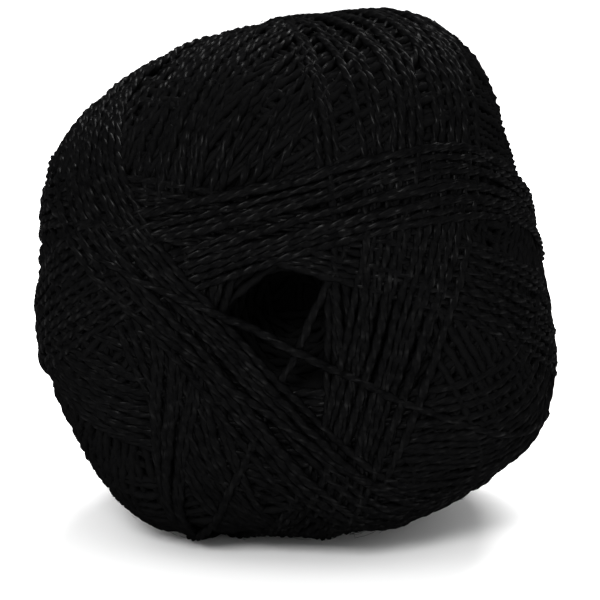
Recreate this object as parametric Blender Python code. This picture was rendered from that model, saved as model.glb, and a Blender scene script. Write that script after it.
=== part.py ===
"""Machine-wound ball of fine plied yarn, lying on its side, as one closed solid.

Metres, +Z up. The winding axis is +Y, the end that faces the viewer is at -Y, and the
origin is the middle of the ball's box at the bottom, on the small flat that it rests on.
The solid is a turned form with a hollow at each end, given the rounded square outline of
the ball and the raised bands in which its turns lie.
"""

import math

import bmesh
import bpy
from mathutils import Vector

MM = 0.001

# Half of the turned profile, in mm: distance along the axis from the middle, radius.
# It runs from the bottom of the end hollow over its lip and the shoulder to the belly.
PROFILE = (
    (12.0, 0.0),
    (12.7, 4.0),
    (17.0, 6.8),
    (22.5, 8.4),
    (27.4, 10.0),
    (30.3, 12.6),
    (31.5, 17.2),
    (31.6, 22.6),
    (30.6, 28.4),
    (28.0, 34.2),
    (23.6, 38.7),
    (17.2, 41.8),
    (9.0, 43.6),
    (0.0, 44.2),
)
STEPS_ROUND = 300
STEPS_ALONG = 180
MERGE = 0.01 * MM

# The belly seen along the axis is a rounded square. Its radius is the profile's with
# these waves added: lobes, height in mm, and the angle of a crest in degrees, from +X
# towards +Z. The higher ones sharpen its four corners.
OUTLINE_WAVES = (
    # lobes, height, crest
    (1, 0.6, 210.0),
    (2, 0.5, 63.0),
    (3, 1.4, 80.0),
    (4, 2.5, 57.0),
    (5, 0.3, 61.0),
    (6, 0.3, 51.0),
    (8, 0.8, 15.0),
)
BELLY_RADIUS = PROFILE[-1][1] * MM
ROUND_INSIDE = 0.30
SQUARE_OUTSIDE = 0.85

# Deeper bands, evenly turned about the axis. Each is laid DEEP_HOP places on from the one
# before it, and their offsets take turns.
DEEP_BANDS = 9
DEEP_FIRST = 8.0
DEEP_HOP = 4
DEEP_OFFSETS = (17.0, 21.0, 25.0)
DEEP_HALF_WIDTH = 8.4
DEEP_LEVEL = 0.40
DEEP_LEVEL_STEP = 0.10

# Outermost bands, first laid first: direction across the near end in degrees from +X
# towards +Z, offset of the band's middle from the axis there, half its width, and how
# proud its top stands of the turned form, in mm
OUTER_BANDS = (
    # direction, offset, half_width, level
    (158.0, 18.0, 8.5, 1.3),
    (174.0, 17.0, 7.5, 1.5),
    (95.0, 14.5, 9.0, 1.7),
    (-10.0, 14.0, 6.5, 1.9),
    (254.0, 16.0, 7.0, 2.3),
    (16.5, 17.0, 6.2, 2.6),
    (130.0, 12.0, 5.2, 3.0),
)
BAND_REACH = 32.0 * MM
BAND_EDGE = 0.8 * MM

# Over the belly the bands spread and their relief flattens to this share
FLATTEN_FROM = 32.0 * MM
FLATTEN_TO = 42.0 * MM
BELLY_RELIEF = 0.6

# Each band is a row of bundles of turns with a shallow groove between them
BUNDLE_PITCH = 4.6 * MM
GROOVE_DEPTH = 0.6 * MM

# The bands end at the lip of each hollow
LIP_START = 8.6 * MM
LIP_END = 12.0 * MM

# The pressed flat at the bottom. The bands are pressed even there, to this rise, and come
# out again over this height.
FLAT_LEVEL = -42.6 * MM
PRESSED_RISE = 1.4 * MM
PRESSED_HEIGHT = 6.0 * MM

# Share of the fine faces that is kept once the form is made
KEPT_TRIANGLES = 11400

YARN_COLOUR = (0.006, 0.006, 0.0065, 1.0)
YARN_ROUGHNESS = 0.85


def clear_scene():
    for obj in list(bpy.data.objects):
        bpy.data.objects.remove(obj, do_unlink=True)


def smooth_step(value, low, high):
    share = min(1.0, max(0.0, (value - low) / (high - low)))
    return share * share * (3 - 2 * share)


def curve_through(before, start, end, after, share):
    """Catmull-Rom value between start and end."""
    return 0.5 * (
        2 * start
        + (end - before) * share
        + (2 * before - 5 * start + 4 * end - after) * share**2
        + (3 * start - before - 3 * end + after) * share**3
    )


def profile_point(share):
    """Point of the half profile at a share of its rows: distance along the axis, radius."""
    rows = [(along * MM, radius * MM) for along, radius in PROFILE]
    # The whole profile is its own mirror image at the axis and at the belly
    at_axis = (rows[1][0], -rows[1][1])
    past_belly = (-rows[-2][0], rows[-2][1])
    rows = [at_axis, *rows, past_belly]
    place = share * (len(PROFILE) - 1)
    index = min(int(place), len(PROFILE) - 2)
    near = rows[index : index + 4]
    return tuple(curve_through(*column, place - index) for column in zip(*near))


def even_profile(count):
    """The half profile as count + 1 points, evenly spaced along its length."""
    samples = 8 * count
    fine = [profile_point(step / samples) for step in range(samples + 1)]
    lengths = [0.0]
    for first, second in zip(fine, fine[1:]):
        lengths.append(lengths[-1] + math.dist(first, second))
    points = []
    index = 0
    for step in range(count + 1):
        wanted = lengths[-1] * step / count
        while index < samples - 1 and lengths[index + 1] < wanted:
            index += 1
        share = (wanted - lengths[index]) / (lengths[index + 1] - lengths[index])
        pair = zip(fine[index], fine[index + 1])
        points.append(tuple(start + (end - start) * share for start, end in pair))
    return points


def turned_ball():
    """The plain turned form with a hollow at each end, as a bmesh round the Y axis."""
    half = even_profile(STEPS_ALONG // 2)
    near_end = [(-along, radius) for along, radius in half]
    far_end = [(along, radius) for along, radius in reversed(half[:-1])]
    form = bmesh.new()
    row = [form.verts.new((radius, along, 0.0)) for along, radius in near_end + far_end]
    edges = [form.edges.new(pair) for pair in zip(row, row[1:])]
    bmesh.ops.spin(
        form,
        geom=row + edges,
        cent=(0, 0, 0),
        axis=(0, 1, 0),
        angle=2 * math.pi,
        steps=STEPS_ROUND,
        use_merge=True,
    )
    bmesh.ops.remove_doubles(form, verts=form.verts, dist=MERGE)
    return form


def squared(point):
    """Moves a point of the round form out to the ball's own outline."""
    radius = math.hypot(point.x, point.z)
    angle = math.atan2(point.z, point.x)
    rise = 0.0
    for lobes, height, crest in OUTLINE_WAVES:
        rise += height * MM * math.cos(lobes * (angle - math.radians(crest)))
    part = smooth_step(radius / BELLY_RADIUS, ROUND_INSIDE, SQUARE_OUTSIDE)
    factor = 1 + rise / BELLY_RADIUS * part
    return Vector((point.x * factor, point.y, point.z * factor))


def band_normal(direction, offset):
    """Unit normal of the plane through the middle of the ball that a band follows."""
    angle = math.radians(direction)
    across = Vector((math.cos(angle), 0, math.sin(angle)))
    aside = Vector((-math.sin(angle), 0, math.cos(angle)))
    to_near_end = aside * offset - Vector((0, BAND_REACH, 0))
    return across.cross(to_near_end).normalized()


def band_rows():
    """Every band, deepest first: plane normal, half width, level, in metres."""
    rows = []
    for index in range(DEEP_BANDS):
        direction = DEEP_FIRST + 360.0 * (index * DEEP_HOP % DEEP_BANDS) / DEEP_BANDS
        offset = DEEP_OFFSETS[index % len(DEEP_OFFSETS)]
        level = DEEP_LEVEL + DEEP_LEVEL_STEP * index
        rows.append((direction, offset, DEEP_HALF_WIDTH, level))
    rows.extend(OUTER_BANDS)
    return [
        (band_normal(direction, offset * MM), half_width * MM, level * MM)
        for direction, offset, half_width, level in rows
    ]


def band_height(point, rows):
    """Height of the outermost band at a point, with the grooves between its bundles."""
    height = 0.0
    for normal, half_width, level in rows:
        away = point.dot(normal)
        cover = 1 - smooth_step(abs(away), half_width - BAND_EDGE, half_width + BAND_EDGE)
        if cover <= 0:
            continue
        wave = 0.5 - 0.5 * math.cos(2 * math.pi * (away + half_width) / BUNDLE_PITCH)
        top = level - GROOVE_DEPTH * (1 - wave)
        height += (top - height) * cover
    return height


def shape_ball(form):
    """Gives the turned form its square outline and its bands."""
    rows = band_rows()
    for vert in form.verts:
        radius = math.hypot(vert.co.x, vert.co.z)
        point = squared(vert.co)
        outside = smooth_step(radius, LIP_START, LIP_END)
        unpressed = smooth_step(point.z, FLAT_LEVEL, FLAT_LEVEL + PRESSED_HEIGHT)
        flatter = smooth_step(radius, FLATTEN_FROM, FLATTEN_TO) * (1 - BELLY_RELIEF)
        rise = band_height(point, rows) * (1 - flatter)
        rise = PRESSED_RISE + (rise - PRESSED_RISE) * unpressed
        vert.co = point + point.normalized() * rise * outside


def thinned(form):
    """The form with only the faces that its shape needs, as a new bmesh."""
    mesh = bpy.data.meshes.new("fine_form")
    form.to_mesh(mesh)
    form.free()
    fine = bpy.data.objects.new("fine_form", mesh)
    bpy.context.scene.collection.objects.link(fine)
    thin = fine.modifiers.new("thin", "DECIMATE")
    mesh.calc_loop_triangles()
    thin.ratio = KEPT_TRIANGLES / len(mesh.loop_triangles)
    bpy.context.view_layer.update()
    result = bmesh.new()
    result.from_object(fine, bpy.context.evaluated_depsgraph_get())
    bpy.data.objects.remove(fine, do_unlink=True)
    return result


def seat_ball(form):
    """Cuts the small flat and brings it to the floor, with the box centred on the origin."""
    cut = bmesh.ops.bisect_plane(
        form,
        geom=form.verts[:] + form.edges[:] + form.faces[:],
        dist=MERGE,
        plane_co=(0, 0, FLAT_LEVEL),
        plane_no=(0, 0, -1),
        use_snap_center=True,
        clear_outer=True,
    )
    rim = [item for item in cut["geom_cut"] if isinstance(item, bmesh.types.BMEdge)]
    bmesh.ops.holes_fill(form, edges=rim)
    across = [vert.co.x for vert in form.verts]
    along = [vert.co.y for vert in form.verts]
    middle = Vector((max(across) + min(across), max(along) + min(along), 0)) / 2
    move = Vector((-middle.x, -middle.y, -FLAT_LEVEL))
    bmesh.ops.translate(form, verts=form.verts, vec=move)
    print("middle of the ball", [round(value / MM, 3) for value in move], "mm")


def yarn_material():
    material = bpy.data.materials.new("black_yarn")
    material.use_nodes = True
    shader = material.node_tree.nodes["Principled BSDF"]
    shader.inputs["Base Color"].default_value = YARN_COLOUR
    shader.inputs["Roughness"].default_value = YARN_ROUGHNESS
    shader.inputs["Metallic"].default_value = 0.0
    return material


def build():
    clear_scene()
    collection = bpy.data.collections.new("yarn_ball_parts")
    bpy.context.scene.collection.children.link(collection)
    form = turned_ball()
    shape_ball(form)
    form = thinned(form)
    seat_ball(form)
    bmesh.ops.recalc_face_normals(form, faces=form.faces)
    mesh = bpy.data.meshes.new("yarn_ball")
    form.to_mesh(mesh)
    form.free()
    mesh.shade_smooth()
    mesh.materials.append(yarn_material())
    collection.objects.link(bpy.data.objects.new("yarn_ball", mesh))


build()
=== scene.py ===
# %% [markdown]
# # A ball of fine plied yarn
#
# The frame holds one solid: the wound form of the ball, with a hollow at each end and the
# bands in which its turns lie. A picture of turns on that solid would look flat along the
# outline and in the grooves. So the yarn itself is laid here, turn by turn over a dark
# core, the way a winding machine does it, and each band rests on the ones below.

import math

import bmesh
import bpy
import numpy as np
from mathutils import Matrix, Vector
from mathutils.bvhtree import BVHTree


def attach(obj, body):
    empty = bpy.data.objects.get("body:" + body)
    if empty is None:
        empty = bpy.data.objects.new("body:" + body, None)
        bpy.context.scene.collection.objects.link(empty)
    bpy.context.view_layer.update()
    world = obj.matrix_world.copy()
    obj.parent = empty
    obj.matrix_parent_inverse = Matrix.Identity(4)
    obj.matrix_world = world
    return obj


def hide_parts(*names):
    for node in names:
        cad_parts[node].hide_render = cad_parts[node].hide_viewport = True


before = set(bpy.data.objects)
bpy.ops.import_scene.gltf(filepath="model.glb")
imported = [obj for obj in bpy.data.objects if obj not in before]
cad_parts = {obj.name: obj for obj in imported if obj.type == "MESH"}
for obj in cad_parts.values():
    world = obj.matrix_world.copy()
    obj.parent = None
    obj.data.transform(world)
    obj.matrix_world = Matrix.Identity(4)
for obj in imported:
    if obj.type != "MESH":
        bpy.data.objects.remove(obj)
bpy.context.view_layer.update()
MM = 0.001
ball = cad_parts["yarn_ball"]

# %% [markdown]
# ## Shader values as Python expressions
#
# A material is a small network of nodes. It could be wired by hand, socket by socket, but
# a long sum is hard to read that way. One class holds a material and adds any node to it,
# and another wraps a number that comes out of a node, so that sums on it can be written as
# plain Python and turn into Math nodes by themselves.


# %% A number in a material
class Value:
    def __init__(self, finish, socket):
        self.finish = finish
        self.socket = socket

    def maths(self, operation, first, second):
        settings = {"operation": operation}
        return self.finish.node("Math", settings, {0: first, 1: second}).value()

    def __add__(self, other):
        return self.maths("ADD", self, other)

    def __sub__(self, other):
        return self.maths("SUBTRACT", self, other)

    def __rsub__(self, other):
        return self.maths("SUBTRACT", other, self)

    def __mul__(self, other):
        return self.maths("MULTIPLY", self, other)

    def __pow__(self, other):
        return self.maths("POWER", self, other)

    def __rpow__(self, other):
        return self.maths("POWER", other, self)

    __radd__ = __add__
    __rmul__ = __mul__


print("sums on a value become Math nodes")


# %% A material and its nodes
class Node:
    def __init__(self, finish, node):
        self.finish = finish
        self.node = node

    def value(self, output=0):
        return Value(self.finish, self.node.outputs[output])


class Finish:
    def __init__(self, name):
        self.material = bpy.data.materials.new(name)
        self.material.use_nodes = True
        self.tree = self.material.node_tree
        self.shader = self.tree.nodes["Principled BSDF"]

    def fill(self, node, inputs):
        for key, wanted in inputs.items():
            if isinstance(wanted, Value):
                self.tree.links.new(wanted.socket, node.inputs[key])
            else:
                node.inputs[key].default_value = wanted

    def node(self, kind, settings=None, inputs=None):
        """Any node: its type, the settings that are set first, then its sockets."""
        node = self.tree.nodes.new("ShaderNode" + kind)
        for key, wanted in (settings or {}).items():
            setattr(node, key, wanted)
        self.fill(node, inputs or {})
        return Node(self, node)

    def set(self, **inputs):
        """Sockets of the surface shader, with spaces in their names written as _."""
        self.fill(self.shader, {key.replace("_", " "): v for key, v in inputs.items()})
        return self.material


print("a finish holds one material and adds its nodes")

# %% [markdown]
# ## Black fibre
#
# The yarn is dyed a neutral near-black. Seen closely it isn't even: where the fibres lie
# parallel on a ply's crown they catch flecks of light a millimetre or two long, and short
# hairs in the grooves scatter light that keeps those from going quite black. The sheen of
# the shader would give a pale rim round the ball and no flecks. So a weak coat gives the
# gloss, on the crowns alone, and a noise the size of the tufts breaks it up. Under it the
# colour is painted a little paler in the grooves, as painted light for what those hairs
# scatter, with a fine noise for the fibres and a coarse one for stretches that took the dye
# unevenly.

# %% Values of the black fibre
YARN_DARK = (0.0006, 0.0006, 0.0007, 1.0)
YARN_LIGHT = (0.0036, 0.0036, 0.0037, 1.0)
YARN_GLOSS = 0.0110
UNEVEN_DYE = 0.4
# Painted light: how far the grooves' colour is painted towards the paler one
PAINTED_GROOVE_LIGHT = 0.6
FIBRE_GRAIN = {"Scale": 3200.0, "Detail": 2.0, "Roughness": 0.6}
DYE_GRAIN = {"Scale": 160.0, "Detail": 3.0, "Roughness": 0.55}
TUFT_GRAIN = {"Scale": 750.0, "Detail": 1.0, "Roughness": 0.5}
print("tufts about", round(1 / (TUFT_GRAIN["Scale"] * MM), 1), "mm across")


# %% Finish of the yarn
def yarn_finish(name):
    finish = Finish(name)
    place = finish.node("TexCoord").value("Object")

    def grain(sizes):
        settings = {"noise_dimensions": "3D"}
        return finish.node("TexNoise", settings, {"Vector": place, **sizes}).value("Fac")

    fibres, dye, tufts = grain(FIBRE_GRAIN), grain(DYE_GRAIN), grain(TUFT_GRAIN)
    crown = finish.node("Attribute", {"attribute_name": "crown"}).value("Fac")
    # The grooves are painted paler than the crowns, as painted light for what short hairs
    # scatter into them
    colour = finish.node(
        "Mix",
        {"data_type": "RGBA", "clamp_factor": True},
        {
            "Factor": (fibres * 0.5 + dye * 0.5) * UNEVEN_DYE + (1 - crown) * PAINTED_GROOVE_LIGHT,
            6: YARN_DARK,
            7: YARN_LIGHT,
        },
    ).value(2)
    bump = finish.node("Bump", None, {"Strength": 0.6, "Distance": 0.00020, "Height": fibres})
    return finish.set(
        Base_Color=colour,
        Roughness=0.85,
        Metallic=0.0,
        Specular_IOR_Level=0.0,
        # The crown mark carries each turn's gloss share, a painted shade that is lower on deep
        # and early turns
        Coat_Weight=crown**2 * (tufts * 2) ** 3 * YARN_GLOSS,
        Coat_Roughness=0.32,
        Coat_IOR=2.4,
        Normal=bump.value("Normal"),
    )


yarn_material = yarn_finish("black_yarn_fibre")
print("finish", yarn_material.name, "of", len(yarn_material.node_tree.nodes), "nodes")

# %% [markdown]
# ## The core
#
# Under the turns that are laid one by one lies the rest of the ball, which nobody sees but
# as darkness between them. A plain turned form would do for it if the ball were round. This
# one is a rounded square, so the core is the solid's own form: merged, smoothed until its
# bands are gone, and drawn in far enough to leave room for the turns. That is a little over
# the belly, and more at the ends, where every turn passes close to the hollow and they lie
# several deep.

# %% Sizes of the ball
AXIS_X = 0.000225
AXIS_Z = 0.0426
MIDDLE = np.array([AXIS_X, 0.0, AXIS_Z])
HALF_LENGTH = 0.0322
CORE_DEPTHS = (
    # degrees from the belly towards an end, depth in mm
    (0.0, 0.6),
    (30.0, 0.5),
    (47.0, 1.8),
    (60.0, 3.6),
    (90.0, 4.0),
)
CORE_DEPTH_HOLLOW = 0.8 * MM
HOLLOW_RADIUS = 12.0 * MM
HOLLOW_BLEND = (0.8 * HOLLOW_RADIUS, 1.3 * HOLLOW_RADIUS)
SMOOTHINGS = 40
print("middle of the ball at a height of", round(AXIS_Z / MM, 1), "mm")


# %% Merge and smooth the form
def blend_between(value, low, high):
    share = min(1.0, max(0.0, (value - low) / (high - low)))
    return share * share * (3 - 2 * share)


def from_axis(point):
    return math.hypot(point.x - AXIS_X, point.z - AXIS_Z)


core_form = bmesh.new()
core_form.from_mesh(ball.data)
bmesh.ops.remove_doubles(core_form, verts=core_form.verts, dist=0.002 * MM)
outside = [v for v in core_form.verts if from_axis(v.co) > HOLLOW_RADIUS]
for _ in range(SMOOTHINGS):
    bmesh.ops.smooth_vert(
        core_form, verts=outside, factor=0.5, use_axis_x=True, use_axis_y=True, use_axis_z=True
    )
core_form.normal_update()
print("core", len(core_form.verts), "points,", len(outside), "of them smoothed")

# %% Draw it in
turns_towards_end, depths = zip(*CORE_DEPTHS)
for vert in core_form.verts:
    from_belly = math.degrees(math.atan2(abs(vert.co.y), from_axis(vert.co)))
    depth = float(np.interp(from_belly, turns_towards_end, depths)) * MM
    in_hollow = 1 - blend_between(from_axis(vert.co), *HOLLOW_BLEND)
    depth += (CORE_DEPTH_HOLLOW - depth) * in_hollow
    vert.co -= vert.normal * depth
core_form.normal_update()
core_surface = BVHTree.FromBMesh(core_form)
widest = max(from_axis(vert.co) for vert in core_form.verts)
print("core out to", round(widest / MM, 1), "mm from the axis")

# %% [markdown]
# ## How a turn lies
#
# A winding machine lays each turn nearly in a plane through the middle of the ball. The
# plane is tilted off the winding axis, so the turn passes beside the hollow at both ends
# and never closes it. One long spiral could describe all the yarn, but then no band could
# be put where it shows. So a band is a row of turns side by side, and its plane is given
# by the direction in which it crosses the near end and by how far from the axis it does so.


# %% Plane of a band
def band_plane(direction, offset):
    """Two unit vectors in the plane, the second towards the near end, and its normal."""
    angle = math.radians(direction)
    across = np.array([math.cos(angle), 0.0, math.sin(angle)])
    aside = np.array([-math.sin(angle), 0.0, math.cos(angle)])
    to_near_end = aside * offset * MM - np.array([0.0, HALF_LENGTH, 0.0])
    to_near_end /= np.linalg.norm(to_near_end)
    return across, to_near_end, np.cross(across, to_near_end)


print("normal of a plane 17 mm off the axis:", band_plane(0.0, 17.0)[2].round(2))

# %% [markdown]
# ## Tables of the bands
#
# The deep bands are evenly turned about the axis and cover the ball once over. Three extra
# ones lie where a machine's even rounds would still leave the core bare. The outer bands
# are those that the near end shows: three round the hollow on top, which are the last
# rounds, and older ones that show between them. A row with one turn is a single turn that
# slipped across the ball. Tables are used because each row is then one thing to adjust
# against the real ball.

# %% Deep bands
DEEP_BANDS = 9
DEEP_FIRST = 8.0
DEEP_HOP = 4
DEEP_OFFSETS = (17.0, 21.0, 25.0)
DEEP_ROW = {"fan": 3.0, "half_width": 8.7, "turns": 12}
EXTRA_BANDS = (
    # direction, offset
    (306.0, 25.0),
    (60.0, 25.0),
    (36.0, 17.0),
)
print("deep turns", (DEEP_BANDS + len(EXTRA_BANDS)) * DEEP_ROW["turns"])

# %% Outer bands, first laid first
OUTER_BANDS = (
    # direction in degrees, how far it fans out, offset and half width in mm, turns
    (158.0, 4.0, 18.0, 9.5, 10),
    (174.0, 5.0, 17.0, 7.6, 10),
    (92.0, 2.0, -8.6, 2.6, 4),
    (106.0, -7.0, 18.0, 6.6, 11),
    (80.0, -9.0, 15.0, 5.6, 9),
    (66.0, 0.0, -3.3, 0.0, 1),
    (-12.0, -3.0, 14.0, 5.4, 9),
    (88.0, 0.0, -12.4, 0.0, 1),
    (254.0, 4.0, 16.0, 7.0, 13),
    (16.5, 3.0, 16.4, 6.8, 11),
    (130.0, 2.0, 11.2, 6.0, 10),
    (-37.0, 0.0, -12.1, 0.0, 1),
    (-25.5, 0.0, -2.6, 0.0, 1),
)
print("outer turns", sum(row[-1] for row in OUTER_BANDS))

# %% [markdown]
# ## Laying the yarn
#
# Each new turn must lie over the core and over every turn laid before it, and it is
# pulled taut. A physics simulation of so much yarn would take hours. Looking along a
# turn's plane, the least height that it may have is known all round, and a taut loop takes
# the shape of a rubber band round that outline: its convex hull. Yarn is soft, so it may
# sink below the taut line by a little.

# %% Sizes of the yarn
YARN_WIDTH = 1.60 * MM
REST_HEIGHT = 0.42 * YARN_WIDTH
LAID_HEIGHT_END = 0.58 * MM
LAID_HEIGHT_BELLY = 0.95 * MM
END_GROWTH = 1.4
END_START = 0.2
SEARCH_WIDTH = 3.2 * MM
TURN_RADIUS = 40.0 * MM
SAMPLES = 256
GIVE = 0.45 * MM
ROUND = np.arange(SAMPLES) * 2 * math.pi / SAMPLES
print("a point of each turn every", round(2 * math.pi * TURN_RADIUS / SAMPLES / MM, 2), "mm")


# %% The taut line round an outline
def hull_of(radius):
    """Places of the corners of the convex hull, once round from the farthest point."""
    points = [(r * math.cos(a), r * math.sin(a)) for a, r in zip(ROUND, radius)]
    start = int(np.argmax(radius))
    hull = []
    for step in range(SAMPLES + 1):
        x, y = points[(start + step) % SAMPLES]
        while len(hull) > 1:
            (ax, ay), (bx, by) = points[hull[-2]], points[hull[-1]]
            if (bx - ax) * (y - by) - (by - ay) * (x - bx) > 0:
                break
            hull.pop()
        hull.append((start + step) % SAMPLES)
    return hull


def taut_radius(radius):
    """Radius of the convex hull of a closed outline given as radii at even angles."""
    hull = hull_of(radius)
    taut = np.empty(SAMPLES)
    for first, last in zip(hull, hull[1:]):
        span = (last - first) % SAMPLES or SAMPLES
        steps = np.arange(span + 1)
        whole = span * 2 * math.pi / SAMPLES
        part = steps * 2 * math.pi / SAMPLES
        low, high = radius[first], radius[last]
        line = low * high * math.sin(whole)
        line = line / (low * np.sin(part) + high * np.sin(whole - part))
        taut[(first + steps) % SAMPLES] = line
    return taut


dented = np.where(ROUND < 1.0, 0.8, 1.0) * TURN_RADIUS
dip = TURN_RADIUS - taut_radius(dented).min()
print("a taut line dips", round(float(dip) / MM, 1), "mm into a dent of 8 mm")

# %% The least radius of a new turn
laid = np.empty((0, 3))


def reach_of(surface, directions):
    """Distance from the middle of the ball to a surface along each direction."""
    centre = Vector(MIDDLE)
    hits = [surface.ray_cast(centre, Vector(way))[0] for way in directions]
    return np.array([(hit - centre).length for hit in hits])


def lowest_radius(directions, normal, aside):
    """Least radius at which a turn clears the core and the yarn already laid."""
    least = reach_of(core_surface, directions) + REST_HEIGHT
    if not len(laid):
        return least
    near = np.abs(laid @ normal - aside.mean()) < SEARCH_WIDTH
    others = laid[near]
    along = directions @ others.T
    beside = (others * others).sum(1) - along * along
    # Turns sink deepest into each other at the two ends, where all of them cross
    at_end = np.clip(END_GROWTH * np.abs(directions[:, 1]) - END_START, 0, 1)
    height = LAID_HEIGHT_BELLY + (LAID_HEIGHT_END - LAID_HEIGHT_BELLY) * at_end
    square = (height**2)[:, None]
    touching = (beside < square) & (along > 0)
    over = np.where(touching, along + np.sqrt(np.maximum(square - beside, 0)), 0)
    return np.maximum(least, over.max(1))


side_reach = reach_of(core_surface, [(1.0, 0.0, 0.0), (0.0, 0.0, 1.0)])
print("core reaches out to the right and up, mm:", (side_reach / MM).round(1))

# %% [markdown]
# ## Small wanders
#
# No turn runs quite straight. Yarn slips a little on what it lies on, and its own twist
# makes it curl. A few waves of random size and place, each a whole number to a turn, give
# a wander that closes on itself. Fine noise would look like a frayed rope instead.

# %% How far a turn wanders
rng = np.random.default_rng(7)
SHARED_WANDER = 0.10 * MM
OWN_WANDER = 0.26 * MM
LONE_WANDER = 0.35 * MM
BUMPY = 0.10 * MM
SLIP = 0.18
WANDER_COUNTS = (1, 2, 3, 5, 8, 14, 23, 37)
WANDER_FADE = 0.4


def wandering(amount):
    """A wander round one turn, slow and quick together, which closes on itself."""
    waves = np.zeros(SAMPLES)
    for count in WANDER_COUNTS:
        size = rng.uniform(0.3, 1.0) * amount / count**WANDER_FADE
        waves += size * np.sin(count * ROUND + rng.uniform(0, 2 * math.pi))
    return waves


print("waves to a turn", WANDER_COUNTS)


# %% One turn
def smoothed(values, times):
    for _ in range(times):
        values = (np.roll(values, 1) + 2 * values + np.roll(values, -1)) / 4
    return values


def lay_turn(direction, offset, aside_start, aside_end, wobble):
    """Points of one turn round the middle of the ball, laid over all that went before."""
    global laid
    across, to_near_end, normal = band_plane(direction, offset)
    aside = aside_start + (aside_end - aside_start) * ROUND / (2 * math.pi) + wobble
    flat = np.outer(np.cos(ROUND), across) + np.outer(np.sin(ROUND), to_near_end)
    ways = flat * TURN_RADIUS + np.outer(aside, normal)
    ways /= np.linalg.norm(ways, axis=1)[:, None]
    least = lowest_radius(ways, normal, aside)
    radius = np.maximum(smoothed(least, times=2), taut_radius(least) - GIVE)
    radius = smoothed(radius, times=3) + wandering(BUMPY)
    points = ways * radius[:, None]
    laid = np.vstack([laid, points])
    return points


print("a turn is", SAMPLES, "points")


# %% A band of turns
def lay_band(direction, fan, offset, half_width, turns):
    """One length of yarn that fills a band from side to side, as a row of points."""
    if turns == 1:
        return lay_turn(direction, offset, 0.0, 0.0, wandering(LONE_WANDER))
    step = 2 * half_width * MM / turns
    turn_points = []
    wander = wandering(SHARED_WANDER)
    for index in range(turns):
        share = 2 * (index + 0.5) / turns - 1
        start = -half_width * MM + index * step + rng.normal(0, SLIP) * YARN_WIDTH
        own = wander + wandering(OWN_WANDER)
        turn_points.append(
            lay_turn(direction + fan * share, offset, start, start + step, own)
        )
    return np.vstack(turn_points)


print("a turn slips by about", round(SLIP * YARN_WIDTH / MM, 2), "mm")

# %% Lay the deep bands
deep = []
for count in range(DEEP_BANDS):
    direction = DEEP_FIRST + 360.0 * (count * DEEP_HOP % DEEP_BANDS) / DEEP_BANDS
    offset = DEEP_OFFSETS[count % len(DEEP_OFFSETS)]
    deep.append(lay_band(direction, offset=offset, **DEEP_ROW))
for direction, offset in EXTRA_BANDS:
    deep.append(lay_band(direction, offset=offset, **DEEP_ROW))
print("deep bands", len(laid), "points")

# %% Lay the outer bands and the single turns
outer = [lay_band(*row) for row in OUTER_BANDS]
print("all turns", len(laid), "points")

# %% [markdown]
# ## Pressing the ball into its form
#
# Turns that cross pile up, and a corner of the rounded square needs more yarn than a flat
# side. The solid has the form that the whole winding ends up with. Snapping every turn onto
# it would undo how they lie over each other. So the outermost yarn is mapped all round the
# ball and compared with the solid, and the difference is smoothed until no single turn
# shows in it. Taking it off every turn presses the ball into its form and leaves the lie of
# the turns as it was. It is done four times, with less smoothing each time.

# %% Map of the ball
MAP_STEPS = (90, 180)
YARN_CROWN = 0.25 * YARN_WIDTH
FILL_BLUR = 8.0
RIM_RADIUS = 12.5 * MM

node_form = bmesh.new()
node_form.from_mesh(ball.data)
node_surface = BVHTree.FromBMesh(node_form)
node_form.free()

polar, azimuth = np.meshgrid(
    (np.arange(MAP_STEPS[0]) + 0.5) * math.pi / MAP_STEPS[0],
    (np.arange(MAP_STEPS[1]) + 0.5) * 2 * math.pi / MAP_STEPS[1],
    indexing="ij",
)
ways = np.stack(
    [np.sin(polar) * np.cos(azimuth), np.cos(polar), np.sin(polar) * np.sin(azimuth)], -1
)
solid_reach = reach_of(node_surface, ways.reshape(-1, 3)).reshape(MAP_STEPS)
beside_hollow = solid_reach * np.sin(polar) > RIM_RADIUS
print("solid reaches, mm:", (solid_reach.min() / MM).round(1), (solid_reach.max() / MM).round(1))


# %% Places and blurs on the map
def map_place(points):
    """Place on the map, in steps: from end to end, and round the axis."""
    distance = np.linalg.norm(points, axis=1)
    towards_end = np.arccos(np.clip(points[:, 1] / distance, -1, 1)) / math.pi
    around = np.arctan2(points[:, 2], points[:, 0]) / (2 * math.pi) % 1.0
    return towards_end * MAP_STEPS[0] - 0.5, around * MAP_STEPS[1] - 0.5


def blurred(values, blur):
    """Gaussian blur of a map, which closes round the axis and ends at the two ends."""
    reach = int(3 * blur)
    weights = np.exp(-0.5 * (np.arange(-reach, reach + 1) / blur) ** 2)
    weights /= weights.sum()
    around = sum(w * np.roll(values, k - reach, 1) for k, w in enumerate(weights))
    padded = np.pad(around, ((reach, reach), (0, 0)), mode="reflect")
    rows = len(values)
    return sum(w * padded[k : k + rows] for k, w in enumerate(weights))


print("share of the map beside the hollows:", beside_hollow.mean().round(2))


# %% How far the yarn stands proud
def excess_map(points, blur):
    """How far the outermost yarn stands proud of the solid, blurred, all round the ball."""
    row, column = map_place(points)
    row = np.clip(np.rint(row), 0, MAP_STEPS[0] - 1).astype(int)
    column = np.rint(column).astype(int) % MAP_STEPS[1]
    outermost = np.zeros(MAP_STEPS)
    np.maximum.at(outermost, (row, column), np.linalg.norm(points, axis=1) + YARN_CROWN)
    known = (outermost > 0) & beside_hollow
    excess = np.where(known, outermost - solid_reach, 0.0)
    filled = blurred(excess, FILL_BLUR) / np.maximum(blurred(known * 1.0, FILL_BLUR), 1e-6)
    excess = blurred(np.where(known, excess, filled), blur)
    print("proud of the solid, mm:", np.percentile(excess / MM, (1, 25, 50, 75, 99)).round(2))
    return excess


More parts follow.
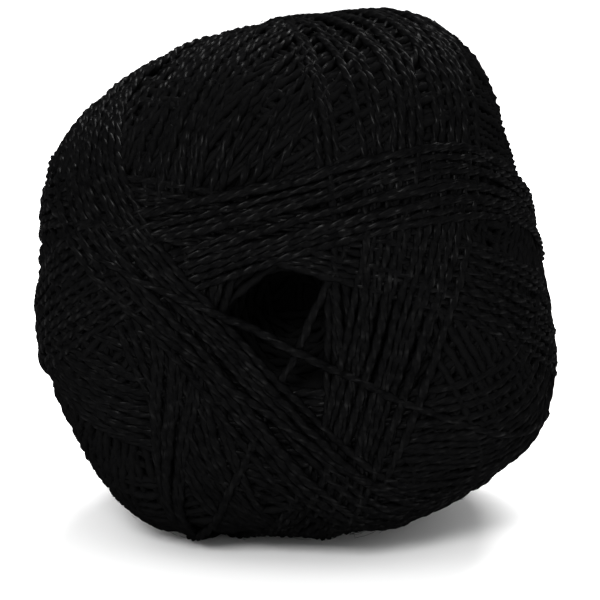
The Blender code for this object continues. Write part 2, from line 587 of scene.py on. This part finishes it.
# %% Press every turn and the core
FLOOR_LEVEL = 0.6 * YARN_WIDTH - AXIS_Z
PRESSES = (
    # blur in steps of the map, how far in mm the yarn may stay proud of the solid
    (4.0, None),
    (2.2, None),
    (1.3, 0.4),
    (0.9, 0.3),
)


def pressed(points, excess):
    """Points drawn towards the middle by the map, and kept above the floor."""
    row, column = map_place(points)
    row = np.clip(row, 0, MAP_STEPS[0] - 1.001)
    low_row, low_column = np.floor(row).astype(int), np.floor(column).astype(int)
    part_row, part_column = row - low_row, column - low_column
    taken = np.zeros(len(points))
    for down, weight_row in ((0, 1 - part_row), (1, part_row)):
        for over, weight_column in ((0, 1 - part_column), (1, part_column)):
            place = (low_row + down, (low_column + over) % MAP_STEPS[1])
            taken += weight_row * weight_column * excess[place]
    result = points * (1 - taken / np.linalg.norm(points, axis=1))[:, None]
    result[:, 2] = np.maximum(result[:, 2], FLOOR_LEVEL)
    return result


core_points = np.array([vert.co[:] for vert in core_form.verts]) - MIDDLE
for blur, allowed in PRESSES:
    excess = excess_map(np.vstack(deep + outer), blur)
    if allowed is not None:
        excess = np.maximum(excess - allowed * MM, 0.0)
    deep = [pressed(points, excess) for points in deep]
    outer = [pressed(points, excess) for points in outer]
    core_points = pressed(core_points, excess)

# %% [markdown]
# ## Squeezing the highest crossings
#
# Where many turns cross on a shoulder they still make a lump that the map is too coarse to
# press. On the real ball tight yarn is squeezed flat there. Each point that stands too
# proud is therefore drawn in by most of what it is too high. It is done only on the
# shoulders, because on the near end it would make turns cut through each other, as in a
# weave.

# %% Squeeze the turns
SQUEEZE_FROM = -0.60 * MM
SQUEEZE_LONE = -0.20 * MM
SQUEEZED_SHARE = 0.2
SHOULDER_FROM = 26.0 * MM
SHOULDER_TO = 36.0 * MM


def packed_down(points, lone=False):
    """Points with the highest crossings squeezed, as tight yarn is where it piles up."""
    distance = np.linalg.norm(points, axis=1)
    ways = points / distance[:, None]
    proud = distance - reach_of(node_surface, ways) - (SQUEEZE_LONE if lone else SQUEEZE_FROM)
    from_middle = np.hypot(points[:, 0], points[:, 2])
    outside = np.clip((from_middle - SHOULDER_FROM) / (SHOULDER_TO - SHOULDER_FROM), 0, 1)
    distance = distance - np.maximum(proud, 0) * (1 - SQUEEZED_SHARE) * outside
    result = ways * distance[:, None]
    result[:, 2] = np.maximum(result[:, 2], FLOOR_LEVEL)
    return result


deep = [packed_down(points) for points in deep]
outer = [packed_down(points, lone=len(points) == SAMPLES) for points in outer]
wound = np.vstack(deep + outer)
lengths = [np.linalg.norm(np.diff(run, axis=0), axis=1).sum() for run in deep + outer]
print(len(wound) // SAMPLES, "turns,", round(float(sum(lengths))), "m of yarn")

# %% Compare with the solid
CHECK_EVERY = 7
sample = wound[np.hypot(wound[:, 0], wound[:, 2]) > RIM_RADIUS][::CHECK_EVERY]
distance = np.linalg.norm(sample, axis=1)
gap = distance - reach_of(node_surface, sample / distance[:, None])
print("turns against the solid, mm:", np.percentile(gap / MM, (1, 25, 50, 75, 99)).round(2))

# %% Core piece
CORE_CLEARANCE = 1.3 * MM
core_distance = np.linalg.norm(core_points, axis=1)
core_ways = core_points / core_distance[:, None]
deepest = reach_of(node_surface, core_ways) - CORE_CLEARANCE
outside_hollow = np.hypot(core_points[:, 0], core_points[:, 2]) > RIM_RADIUS
core_distance = np.where(outside_hollow, np.minimum(core_distance, deepest), core_distance)
for vert, way, reach in zip(core_form.verts, core_ways, core_distance):
    vert.co = way * reach + MIDDLE

core_mesh = bpy.data.meshes.new("core")
core_form.to_mesh(core_mesh)
core_mesh.shade_smooth()
# With no crowns marked, the core's colour takes the full painted groove light
core_mesh.materials.append(yarn_material)
core = bpy.data.objects.new("ball_core", core_mesh)
bpy.context.scene.collection.objects.link(core)
print("core piece", len(core_mesh.polygons), "faces")

# %% [markdown]
# ## Inner turns that the hollows show
#
# The wall of a hollow is made of older turns, which pass straight across beside the axis.
# They could be laid like the others, but whole turns would be hidden for the sake of a few
# millimetres each. So each is a chord that touches the wall at its middle and runs on into
# the ball. Round after round, turned by the golden angle, they leave the narrowing hole
# between them.

# %% Chords round the hollows
HOLLOW_WALL = (
    # distance from the middle of the ball along the axis, radius of the hole, in mm
    (12.4, 0.5),
    (13.2, 3.4),
    (17.0, 6.4),
    (22.5, 8.0),
    (27.4, 9.6),
)
CHORDS = 52
CHORD_TURN = math.radians(137.5)
FAR_END_TURN = 1.3
CHORD_TILT = 0.06
CHORD_SUNK = 3.0 * MM
CHORD_CLEARANCE = 0.3 * YARN_WIDTH
CHORD_UNEVEN = 0.2
CHORD_POINTS = 14


def hollow_chords(side):
    """The inner turns at one end, deepest first. Side is -1 for the near end."""
    depths, radii = (np.array(column) * MM for column in zip(*HOLLOW_WALL))
    chords = []
    for index in range(CHORDS):
        depth = depths[0] + (depths[-1] - depths[0]) * index / (CHORDS - 1)
        radius = float(np.interp(depth, depths, radii))
        angle = index * CHORD_TURN + (0.0 if side < 0 else FAR_END_TURN)
        outward = np.array([math.cos(angle), 0.0, math.sin(angle)])
        across = np.array([-math.sin(angle), 0.0, math.cos(angle)])
        half = math.sqrt((radius + CHORD_SUNK) ** 2 - radius**2)
        steps = np.linspace(-half, half, CHORD_POINTS)
        line = np.outer(steps, across) + outward * (radius + CHORD_CLEARANCE)
        line[:, 1] = side * (depth + CHORD_TILT * steps + rng.normal(0, CHORD_UNEVEN) * MM)
        chords.append(line)
    return chords


inner = hollow_chords(-1) + hollow_chords(1)
print("inner turns", len(inner))

# %% [markdown]
# ## The yarn's own form
#
# Three plies are twisted together. Their outline is a trefoil, and it turns once in about
# nine millimetres, to the left as in most plied yarn. Three thin tubes wound round each
# other would take more than twice the faces. A curve with the trefoil as its bevel shape and a
# tilt that grows along it gives the same form, with rows of faces that follow the plies.
# The ends of each length dive under the surface.

# %% Trefoil
TREFOIL = (
    # angle from a ply's crown in degrees, share of the yarn's radius
    (-20.0, 1.0),
    (20.0, 1.0),
    (60.0, 0.60),
)
PLAIN_TREFOIL = (
    # the same with fewer points, for turns that are mostly covered
    (0.0, 1.06),
    (60.0, 0.66),
)


def trefoil_shape(name, rows):
    """A closed flat curve with three plies, each drawn by the same few points."""
    shape = bpy.data.curves.new(name, "CURVE")
    shape.dimensions = "2D"
    ring = shape.splines.new("POLY")
    ring.points.add(3 * len(rows) - 1)
    ring.use_cyclic_u = True
    for index, point in enumerate(ring.points):
        angle, share = rows[index % len(rows)]
        angle = math.radians(angle + 120.0 * (index // len(rows)))
        radius = share * YARN_WIDTH / 2
        point.co = (radius * math.cos(angle), radius * math.sin(angle), 0, 1)
    holder = bpy.data.objects.new(name, shape)
    bpy.context.scene.collection.objects.link(holder)
    return holder


trefoil = trefoil_shape("trefoil", TREFOIL)
plain_trefoil = trefoil_shape("plain_trefoil", PLAIN_TREFOIL)
print("profiles of", 3 * len(TREFOIL), "and", 3 * len(PLAIN_TREFOIL), "points")


# %% Curve to piece
def curve_to_piece(name, curve):
    """The curve's surface as a mesh object of its own, closed and facing outwards."""
    holder = bpy.data.objects.new(name + "_curve", curve)
    bpy.context.scene.collection.objects.link(holder)
    bpy.context.view_layer.update()
    depsgraph = bpy.context.evaluated_depsgraph_get()
    mesh = bpy.data.meshes.new_from_object(holder.evaluated_get(depsgraph))
    mesh.name = name
    surface = bmesh.new()
    surface.from_mesh(mesh)
    open_edges = [edge for edge in surface.edges if edge.is_boundary]
    bmesh.ops.holes_fill(surface, edges=open_edges)
    bmesh.ops.recalc_face_normals(surface, faces=surface.faces)
    surface.to_mesh(mesh)
    surface.free()
    mesh.materials.clear()
    mesh.materials.append(yarn_material)
    mesh.shade_smooth()
    bpy.data.objects.remove(holder, do_unlink=True)
    piece = bpy.data.objects.new(name, mesh)
    bpy.context.scene.collection.objects.link(piece)
    mesh.calc_loop_triangles()
    print(name, len(mesh.loop_triangles), "triangles")
    return piece


# %% Lengths of yarn to piece
PLY_PITCH = 9.4 * MM
PLY_UNEVEN = 0.7
TWIST_STEPS = 16
WIDTH_UNEVEN = 0.13
WIDTH_STEPS = 9


def uneven(count, steps):
    """Slow uneven values between about -1 and 1, one for each of a number of points."""
    knots = rng.uniform(-1, 1, count // steps + 3)
    return np.interp(np.arange(count) / steps, np.arange(len(knots)), knots)


def yarn_piece(name, runs, profile):
    """One piece from rows of points about the middle of the ball."""
    curve = bpy.data.curves.new(name, "CURVE")
    curve.dimensions = "3D"
    curve.twist_mode = "MINIMUM"
    curve.bevel_mode = "OBJECT"
    curve.bevel_object = profile
    for points in runs:
        spline = curve.splines.new("POLY")
        spline.points.add(len(points) - 1)
        spline.use_smooth = True
        steps = np.linalg.norm(np.diff(points, axis=0), axis=1)
        run = np.concatenate([[0.0], np.cumsum(steps)])
        tilt = -2 * math.pi * run / PLY_PITCH + PLY_UNEVEN * uneven(len(points), TWIST_STEPS)
        row = np.column_stack([points + MIDDLE, np.ones(len(points))])
        width = 1 + WIDTH_UNEVEN * uneven(len(points), WIDTH_STEPS)
        spline.points.foreach_set("co", row.ravel())
        spline.points.foreach_set("tilt", tilt % (2 * math.pi))
        spline.points.foreach_set("radius", width)
    return curve_to_piece(name, curve)


print("a ply shows again every", round(PLY_PITCH / 3 / MM, 1), "mm")


# %% Tucked ends and marked crowns
TUCKED_POINTS = 9
TUCKED_DEPTH = 0.93


def tucked(points):
    """The same run with its two ends sunk under the turns around them."""
    ease = np.ones(len(points))
    ease[:TUCKED_POINTS] = np.linspace(TUCKED_DEPTH, 1.0, TUCKED_POINTS)
    ease[-TUCKED_POINTS:] = np.linspace(1.0, TUCKED_DEPTH, TUCKED_POINTS)
    return points * ease[:, None]


def write_crowns(mesh, values):
    if len(values) != len(mesh.vertices):
        raise ValueError(f"{len(mesh.vertices)} points for {len(values)} values")
    mesh.attributes.new("crown", "FLOAT", "POINT").data.foreach_set("value", values)


def mark_crowns(mesh, profile, runs, shares):
    """Writes each run's share on the crowns of its plies and 0 in the grooves."""
    ring = profile.data.splines[0].points
    reach = np.array([math.hypot(point.co.x, point.co.y) for point in ring])
    crown = (reach - reach.min()) / (reach.max() - reach.min())
    # A share below 1 is a painted shade on the gloss. It also lowers the crown values, so more
    # painted groove light reaches the colour
    rows = [np.tile(crown * share, len(points)) for points, share in zip(runs, shares)]
    write_crowns(mesh, np.concatenate(rows))


print("ends sunk by", round((1 - TUCKED_DEPTH) * TURN_RADIUS / MM, 1), "mm")

# %% [markdown]
# ## Pieces of yarn
#
# The lengths are gathered into a few pieces, each small enough to handle as one mesh. One
# piece per turn would be easier to name but makes hundreds of objects. The deep turns get
# the plain trefoil, since only short stretches of them show, and less gloss, a painted shade
# for lying in the shade of the others. The outer ones get glossier from the first laid to the
# last, the same painted shade lessening towards the top. The inner turns have no crowns
# marked and stay matt, a painted shade that keeps the hollows dark.

# %% Deep, outer and inner turns
PIECE_POINTS = 10800
# Painted shade: deep and early turns get less gloss than the last rounds
GLOSS_DEEP = 0.55
GLOSS_OUTER = (0.75, 1.1)
pieces = []
groups = (
    ("deep_turns", deep, plain_trefoil, np.full(len(deep), GLOSS_DEEP)),
    ("outer_turns", outer, trefoil, np.linspace(*GLOSS_OUTER, len(outer))),
)
for group, runs, profile, shares in groups:
    batches = [[]]
    held = 0
    for points, share in zip(runs, shares):
        if held + len(points) > PIECE_POINTS:
            batches.append([])
            held = 0
        batches[-1].append((tucked(points), share))
        held += len(points)
    for index, batch in enumerate(batches):
        batch_runs, batch_shares = zip(*batch)
        piece = yarn_piece(f"{group}_{index + 1}", batch_runs, profile)
        mark_crowns(piece.data, profile, batch_runs, batch_shares)
        pieces.append(piece)

pieces.append(yarn_piece("inner_turns", inner, plain_trefoil))
for holder in (trefoil, plain_trefoil):
    bpy.data.objects.remove(holder, do_unlink=True)

# %% [markdown]
# ## Loose fibres
#
# Alpaca is a hairy fibre. Short ends work out of the plies and lie over the turns, close
# to the surface because the ball was wound tight. Particle hair could be combed flat over
# the ball, but it is no mesh and wouldn't be kept with it, so each fibre is a very thin
# bent line. It starts on top of a strand and runs along the surface for a few
# millimetres. One longer, thicker hair sticks up from the top of the ball.

# %% Fibres over the turns
FIBRES = 2400
FIBRE_POINTS = 4
FIBRE_WIDTH = 0.045 * MM
FIBRE_LENGTH = (1.6, 4.2)
FIBRE_BEND = 0.35
FIBRE_RISE = 0.42 * MM
FIBRE_ARC = 0.8 * math.pi
FIBRE_DEPTH = 1.4 * MM


def fibre_lines():
    places = wound[rng.choice(len(wound) - 1, 3 * FIBRES, replace=False)]
    distance = np.linalg.norm(places, axis=1)
    ways = places / distance[:, None]
    shallow = distance > reach_of(node_surface, ways) - FIBRE_DEPTH
    lines = []
    for place, outward in list(zip(places[shallow], ways[shallow]))[:FIBRES]:
        along = np.cross(outward, rng.normal(size=3))
        along /= np.linalg.norm(along)
        aside = np.cross(outward, along)
        length = rng.uniform(*FIBRE_LENGTH) * MM
        bend = rng.normal(0, FIBRE_BEND) * length
        rise = FIBRE_RISE * rng.uniform(0.2, 1.0)
        shares = np.linspace(0, 1, FIBRE_POINTS)
        line = place + np.outer(shares * length, along) + np.outer(shares**2 * bend, aside)
        line += np.outer(REST_HEIGHT + rise * np.sin(shares * FIBRE_ARC), outward)
        if line[:, 2].min() > FIBRE_WIDTH - AXIS_Z:
            lines.append(line)
    return lines


loose = fibre_lines()
print("loose fibres", len(loose))

# %% Fibre pieces
STRAY_WIDTH = 0.11 * MM
STRAY_FIBRE = (
    # points from the middle of the ball, in mm
    (-7.3, -14.6, 41.6),
    (-7.0, -12.6, 42.9),
    (-6.6, -9.4, 43.9),
    (-6.2, -5.6, 44.6),
    (-5.8, -1.8, 44.9),
)


def fibre_piece(name, lines, width):
    curve = bpy.data.curves.new(name, "CURVE")
    curve.dimensions = "3D"
    curve.bevel_depth = width / 2
    curve.bevel_resolution = 0
    for line in lines:
        spline = curve.splines.new("POLY")
        spline.points.add(len(line) - 1)
        row = np.column_stack([line + MIDDLE, np.ones(len(line))])
        spline.points.foreach_set("co", row.ravel())
    piece = curve_to_piece(name, curve)
    write_crowns(piece.data, np.ones(len(piece.data.vertices)))
    return piece


pieces.append(fibre_piece("loose_fibres", loose, FIBRE_WIDTH))
pieces.append(fibre_piece("stray_fibre", [np.array(STRAY_FIBRE) * MM], STRAY_WIDTH))

# %% Attach the pieces
for piece in pieces + [core]:
    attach(piece, "root")
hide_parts("yarn_ball")
print("pieces", len(pieces) + 1)

# %% [markdown]
# ## Floor, light and camera
#
# The ball lies on a white sweep in soft light from all sides. One hard lamp would leave
# black yarn as a hole in the picture, so the white surround gives most of the light. A
# long light from above and behind grazes the shoulder, and a soft one in front wakes the
# flecks on the crowns. The camera looks nearly along the winding axis, with a long lens.

# %% Floor
floor_form = bmesh.new()
bmesh.ops.create_grid(floor_form, x_segments=1, y_segments=1, size=6.0)
floor_mesh = bpy.data.meshes.new("floor")
floor_form.to_mesh(floor_mesh)
floor_form.free()
floor = bpy.data.objects.new("floor", floor_mesh)
bpy.context.scene.collection.objects.link(floor)
floor_finish = Finish("pale_floor")
floor_mesh.materials.append(
    floor_finish.set(Base_Color=(0.9, 0.9, 0.9, 1.0), Roughness=0.9, Specular_IOR_Level=0.0)
)
print("floor", floor.dimensions.x, "m wide")

# %% Light
SURROUND = 0.95
LIGHTS = (
    # name, place, what it is aimed at, size, watts
    ("back_strip", (0.08, 0.26, 0.42), (0.0, 0.0, 0.07), (0.40, 0.03), 4.5),
    ("front_soft", (-0.16, -0.66, 0.50), (0.0, 0.0, 0.045), (0.25, 0.25), 5.0),
    ("overhead", (-0.15, -0.25, 0.80), (0.0, 0.0, 0.04), (0.7, 0.6), 1.2),
)
world = bpy.data.worlds.new("white_surround")
world.use_nodes = True
world.node_tree.nodes["Background"].inputs["Color"].default_value = (1.0, 1.0, 1.0, 1.0)
world.node_tree.nodes["Background"].inputs["Strength"].default_value = SURROUND
bpy.context.scene.world = world


def soft_light(name, place, target, size, power):
    light = bpy.data.lights.new(name, "AREA")
    light.shape = "RECTANGLE"
    light.size, light.size_y = size
    light.energy = power
    holder = bpy.data.objects.new(name, light)
    holder.location = place
    aim = Vector(target) - Vector(place)
    holder.rotation_euler = aim.to_track_quat("-Z", "Y").to_euler()
    bpy.context.scene.collection.objects.link(holder)


for row in LIGHTS:
    soft_light(*row)
print("lights", [row[0] for row in LIGHTS])

# %% Camera
CAMERA_TURN = math.radians(4.0)
CAMERA_RISE = math.radians(15.0)
CAMERA_DISTANCE = 0.6
SENSOR_WIDTH = 36.0
VIEW_WIDTH = 0.1026
LOOK_AT = Vector((0.0004, 0.0, 0.0385))
camera_data = bpy.data.cameras.new("camera")
camera_data.sensor_width = SENSOR_WIDTH
camera_data.lens = SENSOR_WIDTH * CAMERA_DISTANCE / VIEW_WIDTH
camera = bpy.data.objects.new("camera", camera_data)
away = Vector(
    (
        math.sin(CAMERA_TURN) * math.cos(CAMERA_RISE),
        -math.cos(CAMERA_TURN) * math.cos(CAMERA_RISE),
        math.sin(CAMERA_RISE),
    )
)
camera.location = LOOK_AT + away * CAMERA_DISTANCE
camera.rotation_euler = (-away).to_track_quat("-Z", "Y").to_euler()
bpy.context.scene.collection.objects.link(camera)
bpy.context.scene.camera = camera
bpy.context.scene.view_settings.view_transform = "Standard"
print("lens", round(camera_data.lens), "mm")
